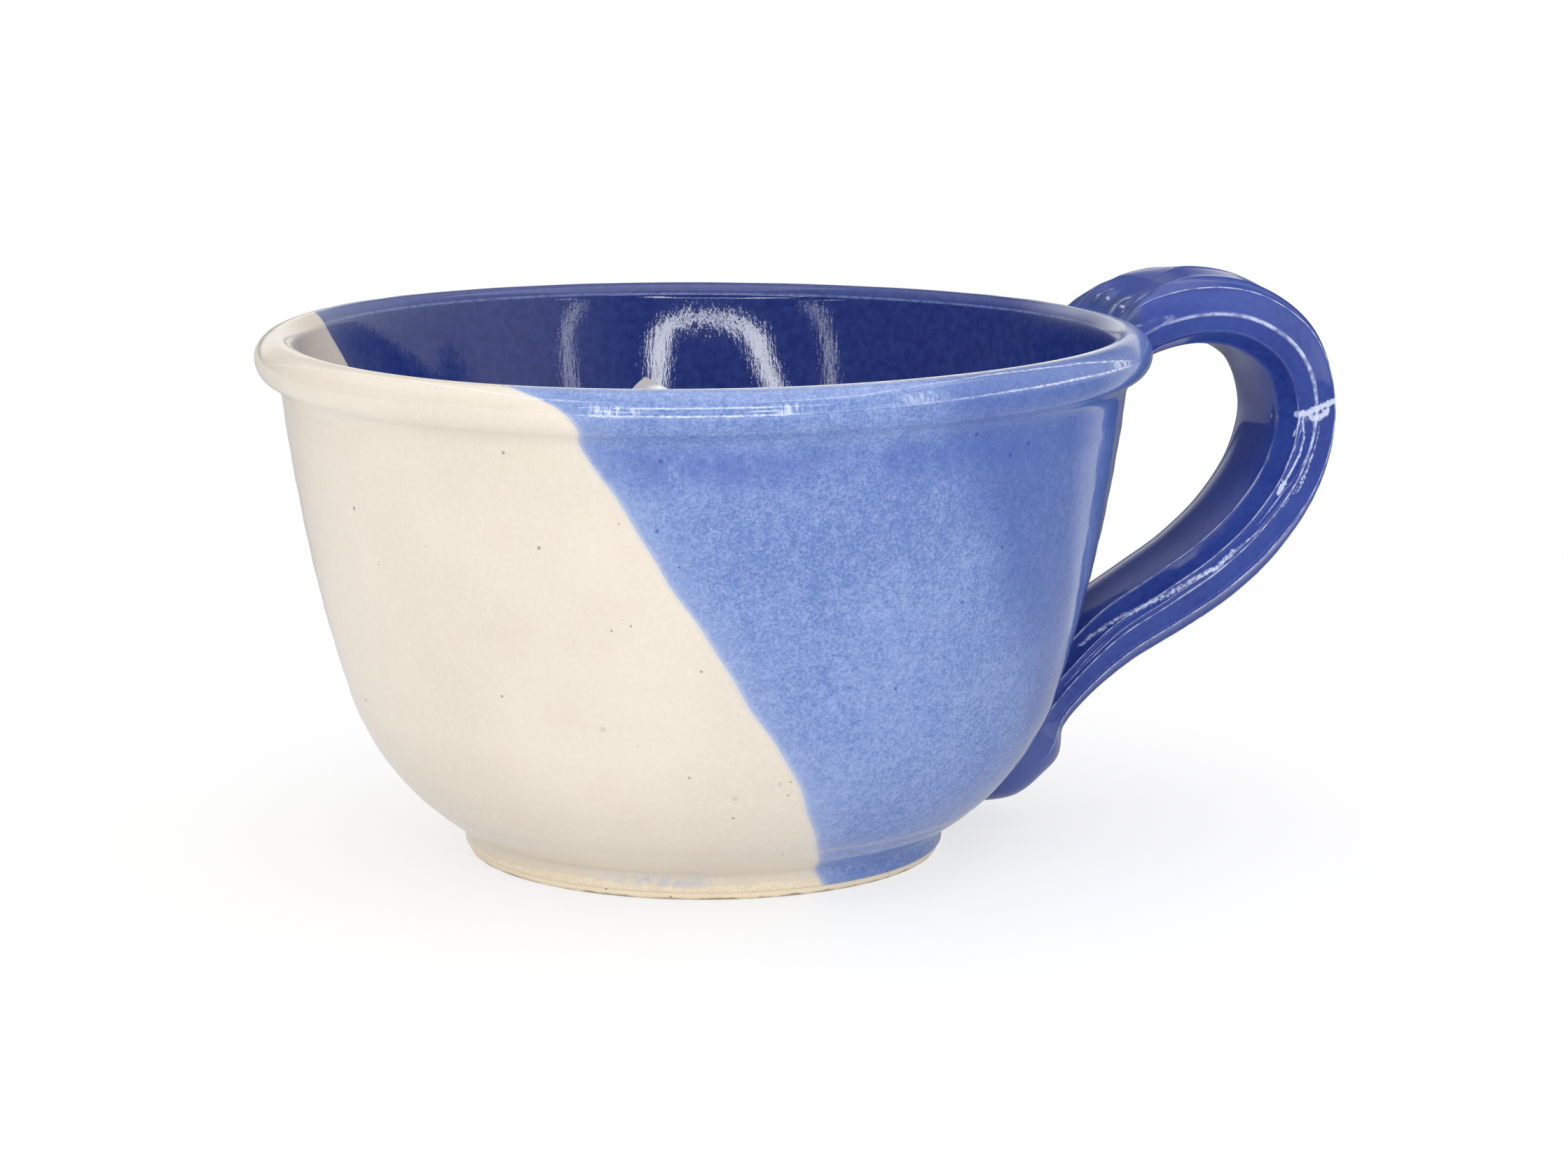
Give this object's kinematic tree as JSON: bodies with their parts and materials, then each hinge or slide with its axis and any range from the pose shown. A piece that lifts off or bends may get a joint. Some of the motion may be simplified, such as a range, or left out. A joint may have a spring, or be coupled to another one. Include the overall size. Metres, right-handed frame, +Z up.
{
  "type": "soup mug",
  "caption": "Wide stoneware mug for soup or a hot drink: an open bowl with a rolled lip on a turned foot, carried by a pulled strap handle.",
  "frame": {"origin": "centre of the foot ring on the table, on the axis the bowl was thrown about", "axes": "+Z up along the bowl's axis, +X from that axis towards the handle, +Y across the handle"},
  "size_m": [0.1644, 0.1298, 0.0826],
  "materials": {
    "bare_clay": "unglazed fired stoneware, dry and slightly rough, pale buff",
    "cream_glaze": "glossy warm cream glaze with fine dark iron specks",
    "blue_glaze": "glossy mottled cornflower blue glaze, paler where thin, deep blue where it pools",
    "cobalt_glaze": "glossy deep cobalt blue glaze over the fluted clay"
  },
  "bodies": {
    "root": {"clay_bowl": "bare_clay", "cream_coat": "cream_glaze", "blue_coat": "blue_glaze", "handle_strap": "cobalt_glaze", "handle_root": "cobalt_glaze", "handle_tail": "cobalt_glaze"}
  },
  "joints": []
}
